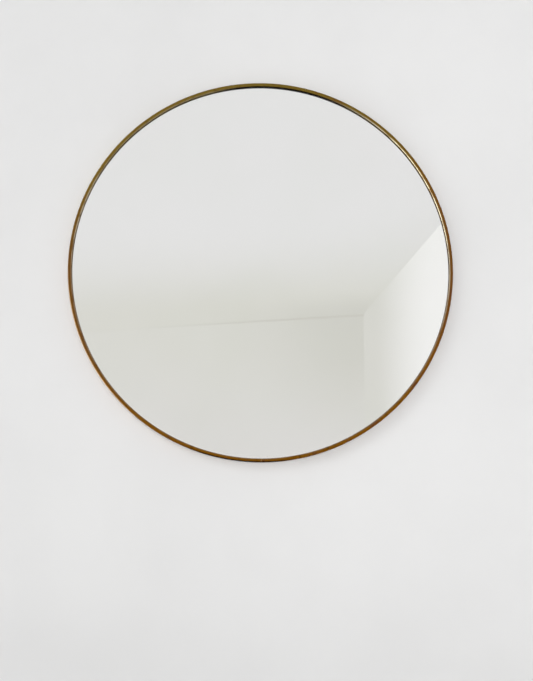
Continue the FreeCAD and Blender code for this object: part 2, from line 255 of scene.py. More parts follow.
def pale_floor():
    """A matt floor that shows paler than the light on it."""
    material, shader, place = begin_finish("pale_floor")
    mottle = clouds(place, 0.25, detail=4).rise(0.3, 0.7)
    colour = mottle.blend(screen_colour(222, 221, 219), screen_colour(218, 217, 215))
    lift = seen_part(place).blend((0, 0, 0, 1), screen_colour(148, 148, 146))
    place.feed(shader, {"Base Color": colour, "Roughness": 0.9, "Emission Color": lift,
                        "Emission Strength": 1.0})
    return material


quarter = math.radians(90)
ring_low, ring_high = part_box("brass_frame")
ring_radius = ring_high.x
wall_hole = ring_radius - 0.001
wall_reach = 5.0
wall_gap = 0.0002

wall_shape = bmesh.new()
bmesh.ops.create_circle(wall_shape, segments=192, radius=wall_hole)
outward = bmesh.ops.extrude_edge_only(wall_shape, edges=wall_shape.edges[:])
outer_verts = verts_of(outward["geom"])
bmesh.ops.scale(wall_shape, vec=Vector((1, 1, 1)) * (wall_reach / wall_hole), verts=outer_verts)
upright = Matrix.Translation((0, wall_gap, 0)) @ Matrix.Rotation(quarter, 4, "X")
bmesh.ops.transform(wall_shape, matrix=upright, verts=wall_shape.verts)
wall_shape.normal_update()
if wall_shape.faces[:][0].normal.y > 0:
    bmesh.ops.reverse_faces(wall_shape, faces=wall_shape.faces[:])
wall = to_object("wall", wall_shape, pale_wall())

floor_height = -1.45
floor_shape = bmesh.new()
bmesh.ops.create_grid(floor_shape, x_segments=1, y_segments=1, size=wall_reach)
bmesh.ops.translate(floor_shape, vec=(0, 0, floor_height), verts=floor_shape.verts)
floor = to_object("floor", floor_shape, pale_floor())
print("Wall with a hole of", round(wall_hole, 4), "m, floor at", floor_height, "m")

# %% [markdown]
# What the mirror sees
#
# In the photograph the glass shows soft fields of pale tone: a large one above, a darker one below it with a
# faint line between them, and a bright one on the right, which meets the others in a corner. Glowing cards
# give these fields, with a soft change of tone along one axis and a shade that reads the distance from the
# corner. Only reflections can see the cards, so they don't change the light. The brass alone sees two more:
# a bright one on the left draws the pale line on the ring's right shoulder, and a dark one the dark lines.

# %% Reflection cards
back_y = -9.0
side_x = 1.35
card_top = 1.27
card_left = -12.0
left_top = 0.434
card_front = -1.6
card_bottom = -3.0
corner_reach = 1.9
corner_tone = screen_colour(216, 215, 209)
far_left = (card_left, back_y, left_top)
far_corner = (side_x, back_y, card_top)
near_left = (card_left, card_front, left_top)
near_corner = (side_x, card_front, card_top)


def glowing(name, near, far, axis, reach, strength=1.0, corner_shade=0.0):
    """A glow that changes its tone over some metres along an axis, and may be darker near the corner."""
    material, shader, place = begin_finish(name)
    place.tree.nodes.remove(shader)
    tone = axes_of(place)[axis].rise(*reach).blend(near, far)
    distance = place.node("VectorMath", {"operation": "DISTANCE"}, {0: place, 1: far_corner}, output="Value")
    away = distance.rise(0, corner_reach)
    tone = (corner_shade - corner_shade * away).blend(tone, corner_tone)
    glow = place.node("Emission", {}, {"Color": tone, "Strength": strength})
    place.feed(place.tree.nodes["Material Output"], {"Surface": glow})
    return material


def reflection_card(name, corners, material):
    """A flat card that shows only in metal and glass."""
    shape = bmesh.new()
    shape.faces.new([shape.verts.new(corner) for corner in corners])
    card = to_object(name, shape, material)
    for kind in ("camera", "diffuse", "shadow", "volume_scatter"):
        setattr(card, "visible_" + kind, False)
    return card


back_glow = glowing("back_glow", screen_colour(228, 226, 225), screen_colour(226, 225, 220), axis=2,
                    reach=(-0.6, 1.1), corner_shade=1.0)
reflection_card("back_card", [(card_left, back_y, card_bottom), (side_x, back_y, card_bottom),
                              far_corner, far_left], back_glow)
side_glow = glowing("side_glow", screen_colour(224, 223, 218), screen_colour(252, 251, 251), axis=1,
                    reach=(-8.2, -4.8))
reflection_card("side_card", [(side_x, back_y, card_bottom), (side_x, card_front, card_bottom),
                              near_corner, far_corner], side_glow)
upper_glow = glowing("upper_glow", screen_colour(225, 224, 218), screen_colour(237, 236, 237), axis=1,
                     reach=(-8.2, -4.2), corner_shade=1.0)
reflection_card("upper_card", [far_left, far_corner, near_corner, near_left], upper_glow)

line_y = back_y + 0.01
line_height = 0.025
line_glow = glowing("line_glow", screen_colour(223, 222, 216), screen_colour(211, 209, 202), axis=0,
                    reach=(-1.2, 1))
reflection_card("line_card", [(card_left, line_y, left_top - line_height),
                              (side_x, line_y, card_top - line_height),
                              (side_x, line_y, card_top), (card_left, line_y, left_top)], line_glow)

bright_x = -1.8
bright_front, bright_back = -1.8, -0.2
bright_low, bright_high = -1.4, 0.15
left_glow = glowing("left_glow", screen_colour(231, 236, 230), screen_colour(232, 237, 235), axis=2,
                    reach=(-1, 1), strength=6.0)
left_card = reflection_card("left_card", [(bright_x, bright_front, bright_low),
                                          (bright_x, bright_back, bright_low),
                                          (bright_x, bright_back, bright_high),
                                          (bright_x, bright_front, bright_high)], left_glow)

dark_z = -1.4
dark_left, dark_right = -0.8, 0.2
dark_front, dark_back = -2.2, 0
dark_glow = glowing("dark_glow", screen_colour(40, 34, 28), screen_colour(56, 50, 42), axis=1, reach=(-2, 0))
dark_card = reflection_card("dark_card", [(dark_left, dark_front, dark_z),
                                          (dark_right, dark_front, dark_z),
                                          (dark_right, dark_back, dark_z),
                                          (dark_left, dark_back, dark_z)], dark_glow)
for card in (left_card, dark_card):
    card.visible_transmission = False
print("Six reflection cards")

# %% [markdown]
# World and lamps
#
# Most of the light is even and comes from a pale world and from a lamp far in front of the mirror, because
# the shadow in the photograph is faint. It lies to the right of the ring and below it and fades slowly, so
# three weak lamps stand on the left: a very large one, a low one, and a high one that also shines on the
# brass. One more behind the wall gives the mirror's back some shape. The lamps don't show in the glass, and
# the camera, metal and glass see a paler world than the light it gives.

# %% World and soft lamps
world = bpy.data.worlds.new("pale_world")
world.use_nodes = True
scene.world = world
sky = Wire(world.node_tree)
sky.feed(world.node_tree.nodes["Background"], {"Color": screen_colour(252, 252, 252),
                                               "Strength": 0.25 + 0.60 * seen_part(sky)})


def soft_lamp(name, place, size, power):
    """A soft square lamp that looks at the mirror's middle."""
    light = bpy.data.lights.new(name, "AREA")
    light.shape = "SQUARE"
    light.size = size
    light.energy = power
    lamp = bpy.data.objects.new(name, light)
    lamp.location = place
    lamp.rotation_euler = (-Vector(place)).to_track_quat("-Z", "Y").to_euler()
    lamp.visible_transmission = False
    scene.collection.objects.link(lamp)
    return lamp


soft_lamp("key_lamp", place=(-6.2, -7.6, 5.2), size=4.0, power=90)
soft_lamp("rear_lamp", place=(-2.8, 3.0, 3.2), size=2.5, power=330)
side_lamp = soft_lamp("side_lamp", place=(-1.5, -7.5, 2.0), size=6.6, power=78)
fill_lamp = soft_lamp("fill_lamp", place=(0.45, -9.0, -0.3), size=2.2, power=352)
left_lamp = soft_lamp("left_lamp", place=(-6.4, -4.0, 0.8), size=2.5, power=38)
for lamp in (side_lamp, fill_lamp, left_lamp):
    lamp.visible_glossy = False
print("A pale world and five soft lamps")

# %% [markdown]
# Every piece gets the same send-off
#
# A new piece has to say two things: which CAD body it moves with, and which CAD node it stands for,
# which is then hidden. One function does that for all of them and prints how many faces the piece has.

# %% Placing a piece
mm = 0.001


def add_piece(name, shape, finish, body="mirror", node=None):
    """Makes a finished piece that rides on a body and replaces a CAD node."""
    bmesh.ops.recalc_face_normals(shape, faces=shape.faces[:])
    piece = to_object(name, shape, finish)
    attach(piece, body)
    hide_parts(node or name)
    print(name, "has", len(piece.data.polygons), "faces")
    return piece


def sharp_edges(shape, least=50):
    """The edges where two faces meet at more than so many degrees."""
    shape.normal_update()
    pairs = [edge for edge in shape.edges if len(edge.link_faces) == 2]
    return [edge for edge in pairs if edge.calc_face_angle() > math.radians(least)]


def round_edges(shape, edges, radius, segments):
    """Rounds edges as a file or a tumbler would."""
    bmesh.ops.bevel(shape, geom=edges, offset=radius, offset_type="OFFSET", affect="EDGES",
                    segments=segments, profile=0.5, material=-1, clamp_overlap=True)


print("A piece is placed in the row frame, in metres")

# %% [markdown]
# Where a point lies on the ring
#
# The finish of the ring depends on the place: how high it is, how far to the left or right, how near to the
# face or to the inner edge. All of these come from Object coordinates. Streaks follow the ring: the angle
# round the axis, times the radius, is a length along the brass, and its jump lies at the seam at the bottom.

# %% Places and patterns on the ring
from types import SimpleNamespace

face_width = 7 * mm
wall_thickness = 1.5 * mm
lip_thickness = 3 * mm
front = ring_low.y
lip_back = front + lip_thickness
lip_radius = ring_radius - face_width
wall_radius = ring_radius - wall_thickness


def along_ring(place):
    """Wires that say where a point lies on the ring, and the two patterns that its finish shares."""
    x, y, z = axes_of(place)
    radius = (x * x + z * z) ** 0.5
    level = z / radius
    aside = x / radius
    length = x.math("ARCTAN2", z) * ring_radius
    band = x.node("CombineXYZ", {}, {0: radius, 1: y, 2: length})
    return SimpleNamespace(place=place, radius=radius, y=y, level=level, aside=aside, band=band,
                           left=(0 - aside).rise(0.3, 0.8),
                           under_top=(0.99 * level + 0.14 * aside).rise(0.90, 0.985),
                           near_face=1 - y.rise(lip_back, lip_back + 3 * mm),
                           patches=clouds(place, 0.022, detail=5, distortion=0.6),
                           streaks=clouds(stretched(band, (1, 1, 0.03)), 0.0009, detail=4))


print("The lip reaches in to a radius of", round(lip_radius / mm, 1), "mm")

# %% [markdown]
# Colours of old brass
#
# The ring is bare brass that has dulled for years: olive-gold towards the top, ochre and red-brown at the
# sides and below, with darker stains, a worn, paler inner edge and darker patches towards the wall. The
# pale inner edge is partly a painted highlight, strongest on the right, and near-black painted shade lies
# under the lip and along the outer edge at the very bottom. Pictures of metal would slide on a thin ring, so
# every colour comes from noise and from the place, one layer over the other, and each layer has a short
# function.

# %% Layers of colour on the ring
red_brown = screen_colour(112, 70, 38)
stain = screen_colour(64, 40, 14)
# pale worn metal, also used for painted highlights on the edges
rubbed_and_highlight = screen_colour(226, 216, 186)
# near black, painted as shade under the lip and along the outer edge at the bottom
painted_shade = screen_colour(30, 24, 16)


def old_brass(spot):
    """Ochre below and olive above, red-brown at the sides and in patches, with small dark stains."""
    drift = clouds(spot.place, 0.12, detail=3)
    height = 0.3 + 0.55 * spot.level - 0.12 * spot.aside + 0.5 * (drift - 0.5)
    colour = height.blend(screen_colour(130, 84, 16), screen_colour(124, 106, 46))
    brown_level = spot.level + 0.18 * spot.left
    sides = 1 - brown_level.math("ABSOLUTE").rise(0.2, 0.7)
    colour = (sides * 0.6).blend(colour, red_brown)
    colour = (spot.patches.rise(0.52, 0.72) * (1 - 0.6 * height)).blend(colour, red_brown)
    specks = clouds(spot.place, 0.007, detail=4).rise(0.58, 0.75)
    return (specks * 0.55).blend(colour, stain)


def worn_edge(spot):
    """1 on the inner front edge, where the brass is worn, but not under the top of the ring, where painted
    shade lies.
    """
    from_edge = ((spot.radius - lip_radius) ** 2 + (spot.y - front) ** 2) ** 0.5
    return (1 - from_edge.rise(0.9 * mm, 2.2 * mm)) * spot.patches.rise(0.25, 0.55) * (1 - spot.under_top)


def wear_and_painted_highlight(spot, colour, wear):
    """Pale metal on the worn edge, with a painted highlight: more of it on the right, in a patch on the left,
    and a trace on the outer rim at the left.
    """
    # painted highlight: the worn edge paler on the right and in a patch on the left
    painted_highlight = (0.87 * spot.aside + 0.5 * spot.level).rise(0.5, 0.9)
    painted_highlight = painted_highlight + 0.7 * (0.29 * spot.level - 0.957 * spot.aside).rise(0.955, 0.99)
    colour = (wear * (0.2 + 0.45 * painted_highlight)).blend(colour, rubbed_and_highlight)
    # painted highlight: a trace of pale metal on the outer rim at the left
    rim = spot.radius.rise(ring_radius - 1.7 * mm, ring_radius - 0.9 * mm) * spot.near_face
    return (0.2 * spot.left * rim).blend(colour, rubbed_and_highlight)


def stained(spot, colour):
    """Darker brown in patches towards the wall, and fine brown streaks."""
    # darker brown in patches towards the wall
    darker_towards_wall = spot.y.rise(-7 * mm, -0.5 * mm) * spot.patches.rise(0.3, 0.6)
    colour = (darker_towards_wall * 0.45).blend(colour, stain)
    return (spot.streaks.rise(0.45, 0.75) * 0.25).blend(colour, stain)


def painted_lip_shade(spot):
    """Painted shade: how dark the inside of the lip is painted, most of all under the top of the ring."""
    start = front + 1.2 * mm - 0.9 * mm * spot.under_top
    lip = spot.y.rise(start, start + 0.4 * mm) * (1 - spot.y.rise(lip_back, lip_back + 0.4 * mm))
    return lip * (1 - spot.radius.rise(lip_radius + 1 * mm, wall_radius)) * (0.12 + 0.88 * spot.under_top)


def painted_bottom_shade(spot):
    """Painted shade: how dark the outer edge is painted at the very bottom, which faces down."""
    under_edge = spot.radius.rise(ring_radius - 2.5 * mm, ring_radius - 1.5 * mm) * spot.near_face
    return 0.95 * under_edge * (0 - 0.995 * spot.level - 0.105 * spot.aside).rise(0.955, 0.99)


print("Layers of colour: old brass, rubbed edges, stains and soot")

# %% [markdown]
# Aged brass
#
# The layers meet in one metal shader. Worn brass is smoother, and the painted shade under the lip is made
# duller, so the same masks drive the roughness. A faint relief of long waves from bending and fine streaks
# breaks up the reflections.

# %% Finish of the ring
def aged_brass():
    """Old bare brass on the ring."""
    finish, shader, place = begin_finish("aged_brass")
    spot = along_ring(place)
    wear = worn_edge(spot)
    inside = painted_lip_shade(spot)
    colour = stained(spot, wear_and_painted_highlight(spot, old_brass(spot), wear))
    # painted shade: near black under the lip and along the bottom edge
    colour = inside.math("MAXIMUM", painted_bottom_shade(spot)).blend(colour, painted_shade)
    dullness = 0.16 + 0.16 * spot.patches + 0.12 * spot.streaks - 0.08 * wear + 0.3 * inside
    waves = clouds(stretched(spot.band, (1, 1, 0.5)), 0.03)
    relief = 0.6 * waves + 0.06 * spot.streaks + 0.1 * spot.patches
    place.feed(shader, {"Base Color": colour, "Roughness": dullness, "Metallic": 1.0,
                        "Normal": bumped(relief, 0.3 * mm)})
    return finish


brass_finish = aged_brass()
print("Aged brass uses", len(brass_finish.node_tree.nodes), "nodes")

# %% [markdown]
# The brass ring
#
# The real ring is a narrow brass angle: a rounded face with a lip in front of the glass, and a side wall
# that reaches back to the wall. It was bent round and butted at the bottom, so a hairline seam is left.
# A section that is turned about an axis is what spin is for. We draw the L of the section with six
# vertices, round its corners with a vertex bevel, and spin it almost all the way round.

# %% Ring from a spun section
shoulder = 1.8 * mm
edge_break = 0.15 * mm
seam_gap = 0.3 * mm
ring_steps = 480
y_axis = (0, 1, 0)


def begin_section(corners):
    """A flat face in the plane of the axis, from corners given as radius and depth."""
    shape = bmesh.new()
    points = [shape.verts.new((radius, depth, 0)) for radius, depth in corners]
    shape.faces.new(points)
    return shape, points


def round_corners(shape, points, radius, segments):
    """Rounds corners of a flat section."""
    bmesh.ops.bevel(shape, geom=points, offset=radius, offset_type="OFFSET", affect="VERTICES",
                    segments=segments, profile=0.5, material=-1)


def spin_part_way(shape, first_angle, angle, steps):
    """Spins the outline of a section about the Y axis and closes both ends."""
    bmesh.ops.delete(shape, geom=shape.faces[:], context="FACES_ONLY")
    turn = Matrix.Rotation(first_angle, 3, "Y")
    bmesh.ops.rotate(shape, cent=(0, 0, 0), matrix=turn, verts=shape.verts)
    bmesh.ops.spin(shape, geom=shape.verts[:] + shape.edges[:], cent=(0, 0, 0), axis=y_axis,
                   angle=angle, steps=steps, use_merge=False)
    open_edges = [edge for edge in shape.edges if edge.is_boundary]
    bmesh.ops.holes_fill(shape, edges=open_edges)


ring_shape, corners = begin_section([(ring_radius, 0), (ring_radius, front), (lip_radius, front),
                                     (lip_radius, lip_back), (wall_radius, lip_back), (wall_radius, 0)])
round_corners(ring_shape, [corners[1], corners[2]], shoulder, 8)
round_corners(ring_shape, [corners[0], corners[3], corners[5]], edge_break, 2)
seam_angle = seam_gap / ring_radius
bottom = quarter
spin_part_way(ring_shape, bottom + seam_angle / 2, math.tau - seam_angle, ring_steps)
print("Ring section turned in", ring_steps, "steps, seam of", round(seam_gap / mm, 2), "mm")

# %% [markdown]
# Holes for the screws and rivets
#
# Twelve countersunk screws go through the side wall into the board, and four rivets hold the joint plate at
# the seam. Their heads lie flush, so the ring needs real countersunk holes for them to show. A Boolean
# modifier cuts them all with one mesh of cones, and its result becomes the ring's own mesh.

# %% Countersunk holes in the ring
screw_count = 12
screw_depth = -11.5 * mm
rivet_depth = -8.5 * mm
rivet_count = 4
rivet_pitch = 11 * mm
head_radius = 2.25 * mm
shank_radius = 1.25 * mm
play = 0.05 * mm
sunk = 0.1 * mm

screw_angles = [math.tau * (number + 0.5) / screw_count for number in range(screw_count)]
rivet_middle = (rivet_count - 1) / 2
rivet_angles = [(number - rivet_middle) * rivet_pitch / wall_radius for number in range(rivet_count)]
places = [(angle, screw_depth) for angle in screw_angles]
places += [(angle, rivet_depth) for angle in rivet_angles]


def at_rim(angle, depth, radius):
    """The turn that takes the Z axis out to the rim, at an angle from the bottom."""
    outward_turn = Matrix.Rotation(angle, 4, "Y") @ Matrix.Rotation(math.pi, 4, "X")
    return Matrix.Translation((0, depth, 0)) @ outward_turn @ Matrix.Translation((0, 0, radius))


def add_cutter(shape, inner_radius, outer_radius, depth, matrix):
    """Adds one turned cutter, wider by the play all round."""
    bmesh.ops.create_cone(shape, cap_ends=True, segments=32, radius1=inner_radius + play,
                          radius2=outer_radius + play, depth=depth, matrix=matrix)


cone_height = head_radius - shank_radius
cone_middle = ring_radius - sunk - cone_height / 2
mouth_height = 4 * sunk
shank_cut = 6 * mm
hole_shape = bmesh.new()
for angle, depth in places:
    add_cutter(hole_shape, shank_radius, head_radius, cone_height, at_rim(angle, depth, cone_middle))
    add_cutter(hole_shape, head_radius, head_radius, mouth_height, at_rim(angle, depth, ring_radius + sunk))
    add_cutter(hole_shape, shank_radius, shank_radius, shank_cut,
               at_rim(angle, depth, ring_radius - shank_cut / 2))
cutter = to_object("hole_cutter", hole_shape, brass_finish)
ring = to_object("ring_uncut", ring_shape, brass_finish)
drill = ring.modifiers.new("drill", "BOOLEAN")
drill.object = cutter
drill.solver = "EXACT"
drill.use_self = True
cut_mesh = bpy.data.meshes.new_from_object(ring.evaluated_get(bpy.context.evaluated_depsgraph_get()))
ring_shape = bmesh.new()
ring_shape.from_mesh(cut_mesh)
for leftover in (ring, cutter):
    bpy.data.objects.remove(leftover)
add_piece("ring", ring_shape, brass_finish, node="brass_frame")

# %% [markdown]
# Glass and silvering
#
# A household mirror is a pane of clear glass with its silver on the back. The eye sees the brass lip twice
# through that glass, which draws the fine dark line under the top of the ring in the photograph. One shiny
# disc couldn't do that, so the pane and the silver film are two pieces. The pane's edge is ground a little.

# %% Pane and silver film
glass_low, glass_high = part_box("mirror_glass")
glass_radius = glass_high.x
film = 0.06 * mm
film_gap = 0.02 * mm
arris = 0.5 * mm


def disc(front_y, back_y, radius, segments):
    """A flat disc that faces -Y."""
    shape = bmesh.new()
    middle = Matrix.Translation((0, (front_y + back_y) / 2, 0)) @ Matrix.Rotation(quarter, 4, "X")
    bmesh.ops.create_cone(shape, cap_ends=True, segments=segments, radius1=radius, radius2=radius,
                          depth=back_y - front_y, matrix=middle)
    return shape


def clear_glass():
    """Clear glass with a trace of green and of haze."""
    finish, shader, place = begin_finish("clear_glass")
    haze = clouds(place, 0.15, detail=2)
    tint = haze.blend(screen_colour(254, 254, 254), screen_colour(252, 253, 252))
    place.feed(shader, {"Base Color": tint, "Roughness": 0.002 * haze, "IOR": 1.5,
                        "Transmission Weight": 1.0})
    return finish


def silvering():
    """Silver film, bright, with a faint cloud where it has aged."""
    finish, shader, place = begin_finish("silvering")
    ageing = clouds(place, 0.2, detail=3).rise(0.4, 0.8)
    colour = ageing.blend(screen_colour(248, 248, 247), screen_colour(246, 246, 244))
    place.feed(shader, {"Base Color": colour, "Roughness": 0.006 + 0.006 * ageing, "Metallic": 1.0})
    return finish


pane_shape = disc(glass_low.y, glass_high.y - film - 2 * film_gap, glass_radius, 256)
round_edges(pane_shape, sharp_edges(pane_shape), arris, 1)
add_piece("glass_pane", pane_shape, clear_glass(), node="mirror_glass")
film_shape = disc(glass_high.y - film - film_gap, glass_high.y - film_gap, glass_radius - arris, 256)
add_piece("silver_film", film_shape, silvering(), node="mirror_glass")

# %% [markdown]
# Dull brass for the small parts
#
# Screws, rivets and the joint plate are plain brass that nobody polished: dull, with brown tarnish in
# patches and fine marks from the tool. The flush heads keep their CAD shape, which already has slots, and
# only take this finish.

# %% Finish of the small brass parts
def plain_brass():
    """Dull brass with brown tarnish."""
    finish, shader, place = begin_finish("plain_brass")
    patches = clouds(place, 0.004, detail=4)
    scratches = clouds(stretched(place, (1, 0.08, 1)), 0.0006, detail=3)
    colour = patches.rise(0.4, 0.7).blend(screen_colour(176, 142, 78), screen_colour(122, 88, 42))
    colour = (scratches.rise(0.5, 0.8) * 0.3).blend(colour, screen_colour(82, 58, 28))
    place.feed(shader, {"Base Color": colour, "Roughness": 0.32 + 0.25 * patches, "Metallic": 0.9,
                        "Normal": bumped(scratches, 0.05 * mm)})
    return finish


def dress(node, finish):
    """Gives a CAD node a finish and leaves its shape alone."""
    for slot in frame["nodes"][node].material_slots:
        slot.material = finish
    print(node, "keeps its CAD shape and takes", finish.name)


small_brass = plain_brass()
dress("frame_screws", small_brass)

# %% [markdown]
# Joint plate and rivets
#
# Behind the seam a curved brass plate bridges the two ends of the ring, held by four rivets. Their outer
# ends are filed flush, and their inner heads are domed. The plate is a short spin of its section, and a
# rivet is a profile turned about its own axis and sent out to the rim.

# %% Joint plate and rivets
plate_low, plate_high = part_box("joint_plate")
plate_outer = -plate_low.z
plate_thickness = 1.5 * mm
plate_inner = plate_outer - plate_thickness
plate_rounding = 0.3 * mm
plate_angle = 2 * math.asin(plate_high.x / plate_outer)
plate_shape, corners = begin_section([(plate_outer, plate_high.y), (plate_outer, plate_low.y),
                                      (plate_inner, plate_low.y), (plate_inner, plate_high.y)])
spin_part_way(plate_shape, bottom - plate_angle / 2, plate_angle, 24)
bmesh.ops.recalc_face_normals(plate_shape, faces=plate_shape.faces[:])
round_edges(plate_shape, sharp_edges(plate_shape), plate_rounding, 2)
add_piece("joint_plate", plate_shape, small_brass)


def turned(outline, steps):
    """A solid turned about the Z axis from an open outline of radius and height."""
    shape = bmesh.new()
    points = [shape.verts.new((radius, 0, height)) for radius, height in outline]
    for start, end in zip(points, points[1:]):
        shape.edges.new((start, end))
    bmesh.ops.spin(shape, geom=shape.verts[:] + shape.edges[:], cent=(0, 0, 0), axis=(0, 0, 1),
                   angle=math.tau, steps=steps, use_merge=True)
    bmesh.ops.remove_doubles(shape, verts=shape.verts, dist=0.001 * mm)
    bmesh.ops.recalc_face_normals(shape, faces=shape.faces[:])
    return shape


def join(whole, part):
    """Adds one bmesh to another, by way of a mesh, and frees it."""
    carrier = bpy.data.meshes.new("carrier")
    part.to_mesh(carrier)
    part.free()
    whole.from_mesh(carrier)
    bpy.data.meshes.remove(carrier)


head_height = 1 * mm
flush = ring_radius - sunk
rivet_outline = [(0, plate_inner - head_height), (0.9 * mm, plate_inner - 0.92 * head_height),
                 (1.6 * mm, plate_inner - 0.68 * head_height), (2.1 * mm, plate_inner - 0.3 * head_height),
                 (head_radius, plate_inner), (shank_radius, plate_inner),
                 (shank_radius, flush - cone_height), (head_radius, flush), (0, flush)]
rivet_shape = bmesh.new()
for angle in rivet_angles:
    one_rivet = turned(rivet_outline, 28)
    bmesh.ops.transform(one_rivet, matrix=at_rim(angle, rivet_depth, 0), verts=one_rivet.verts)
    join(rivet_shape, one_rivet)
add_piece("joint_rivets", rivet_shape, small_brass)

# %% [markdown]
# Plywood, card and cork
#
# The back board is birch plywood that has yellowed with age. A veneer is peeled from the log, so its grain
# wanders in long waves: noise squeezed along the grain, with rings cut through it. Its edge shows the plies
# as stripes. Card is grey-brown with flecks, and cork is pressed grains, which a Voronoi pattern gives.

# %% Finishes of the back
two_plies = 2.57 * mm


def plywood():
    """Aged birch veneer, with plies on the edge."""
    finish, shader, place = begin_finish("plywood")
    x, y, z = axes_of(place)
    long_grain = stretched(place, (1, 1, 0.12))
    waves = clouds(long_grain, 0.09, detail=3, distortion=0.8)
    rings = (waves * 60).math("SINE").rise(-1.0, 1.0)
    fibres = clouds(stretched(place, (1, 1, 0.02)), 0.0012, detail=3)
    pores = clouds(stretched(place, (1, 1, 0.06)), 0.0007).rise(0.66, 0.74)
    ageing = clouds(place, 0.25, detail=3).rise(0.35, 0.7)
    colour = rings.blend(screen_colour(214, 180, 132), screen_colour(198, 160, 110))
    colour = (fibres.rise(0.35, 0.7) * 0.5).blend(colour, screen_colour(176, 136, 90))
    colour = (pores * 0.5).blend(colour, screen_colour(112, 80, 50))
    colour = (ageing * 0.35).blend(colour, screen_colour(170, 126, 80))
    normal = place.node("TexCoord", output="Normal")
    edge = 1 - axes_of(normal)[1].math("ABSOLUTE").rise(0.4, 0.8)
    plies = (y * (math.tau / two_plies)).math("SINE").rise(-0.2, 0.2)
    layers = plies.blend(screen_colour(206, 170, 122), screen_colour(140, 100, 62))
    place.feed(shader, {"Base Color": edge.blend(colour, layers), "Roughness": 0.62 + 0.2 * fibres,
                        "Normal": bumped(fibres - pores, 0.08 * mm)})
    return finish


def grey_card():
    """Grey-brown card with flecks."""
    finish, shader, place = begin_finish("grey_card")
    pulp = clouds(place, 0.0015, detail=4)
    flecks = clouds(place, 0.0008).rise(0.68, 0.76)
    colour = pulp.blend(screen_colour(206, 188, 160), screen_colour(182, 160, 130))
    colour = (flecks * 0.6).blend(colour, screen_colour(120, 98, 74))
    place.feed(shader, {"Base Color": colour, "Roughness": 0.9, "Normal": bumped(pulp, 0.05 * mm)})
    return finish


def pressed_cork():
    """Grains of cork with dark seams and specks."""
    finish, shader, place = begin_finish("pressed_cork")
    warp = place.node("TexNoise", {}, {"Vector": place, "Scale": 600.0}, output="Color")
    bent = place.node("VectorMath", {"operation": "MULTIPLY_ADD"},
                      {0: warp, 1: (0.8 * mm, 0.8 * mm, 0.8 * mm), 2: place})
    cells = {"Vector": bent, "Scale": 450.0}
    grain = place.node("TexVoronoi", {}, cells, output="Color")
    seam = place.node("TexVoronoi", {"feature": "DISTANCE_TO_EDGE"}, cells)
    tone = axes_of(grain)[0]
    colour = tone.blend(screen_colour(208, 168, 116), screen_colour(158, 112, 68))
    colour = (1 - seam.rise(0.02, 0.10)).blend(colour, screen_colour(112, 76, 46))
    specks = clouds(place, 0.0011, detail=3).rise(0.64, 0.72)
    colour = (specks * 0.8).blend(colour, screen_colour(84, 54, 32))
    relief = seam.rise(0.0, 0.15) - specks
    place.feed(shader, {"Base Color": colour, "Roughness": 0.88, "Normal": bumped(relief, 0.15 * mm)})
    return finish


cork_finish = pressed_cork()
dress("back_board", plywood())
dress("packing_card", grey_card())
dress("edge_spacers", cork_finish)

# %% [markdown]
# Cork bumpers
#
# Four cork discs on the board keep it off the wall and stop it from rattling. They are punched from sheet
# cork, so a plain disc with its edge softened by wear is right: a cone with two equal ends, and a bevel.

# %% Cork bumpers
bumper_low, bumper_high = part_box("cork_bumpers")
bumper_radius = 11 * mm
bumper_offset = bumper_high.x - bumper_radius
bumper_rounding = 0.8 * mm
bumper_shape = bmesh.new()
for side in (-1, 1):
    for level in (-1, 1):
        centre = Vector((side * bumper_offset, (bumper_low.y + bumper_high.y) / 2, level * bumper_offset))
        facing = Matrix.Translation(centre) @ Matrix.Rotation(quarter, 4, "X")
        bmesh.ops.create_cone(bumper_shape, cap_ends=True, segments=64, radius1=bumper_radius,
                              radius2=bumper_radius, depth=bumper_high.y - bumper_low.y, matrix=facing)
worn_rims = [edge for edge in sharp_edges(bumper_shape)
             if min(vert.co.y for vert in edge.verts) > bumper_high.y - 0.1 * mm]
round_edges(bumper_shape, worn_rims, bumper_rounding, 3)
add_piece("cork_bumpers", bumper_shape, cork_finish)

# %% [markdown]
# Strap hanger
#
# The hanger is a strip of plated steel, screwed flat to the board, whose upper end is rolled into an eye.
# The strip is one face with its lower corners rounded, given its thickness by an extrusion. Its top end is
# then spun about the hinge, as the press does it, until it nearly meets the strip again.

# %% Strap with a rolled eye
def plated_steel():
    """Dulled nickel plate with fine scratches and a little tarnish."""
    finish, shader, place = begin_finish("plated_steel")
    tarnish = clouds(place, 0.009, detail=4)
    scratches = clouds(stretched(place, (0.15, 1, 1)), 0.0005, detail=3)
    colour = tarnish.rise(0.42, 0.7).blend(screen_colour(206, 203, 196), screen_colour(164, 156, 142))
    spots = clouds(place, 0.003, detail=4).rise(0.62, 0.74)
    colour = (spots * 0.6).blend(colour, screen_colour(112, 92, 70))
    place.feed(shader, {"Base Color": colour, "Roughness": 0.26 + 0.22 * tarnish, "Metallic": 1.0,
                        "Normal": bumped(scratches, 0.03 * mm)})
    return finish


steel_finish = plated_steel()
strap_low, strap_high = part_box("hanger_strap")
hinge = Vector(frame["joints"][0]["pos_m"])
strap_thickness = 1.2 * mm
strap_end_radius = 5 * mm
strap_rounding = 0.2 * mm
roll_angle = math.radians(300)

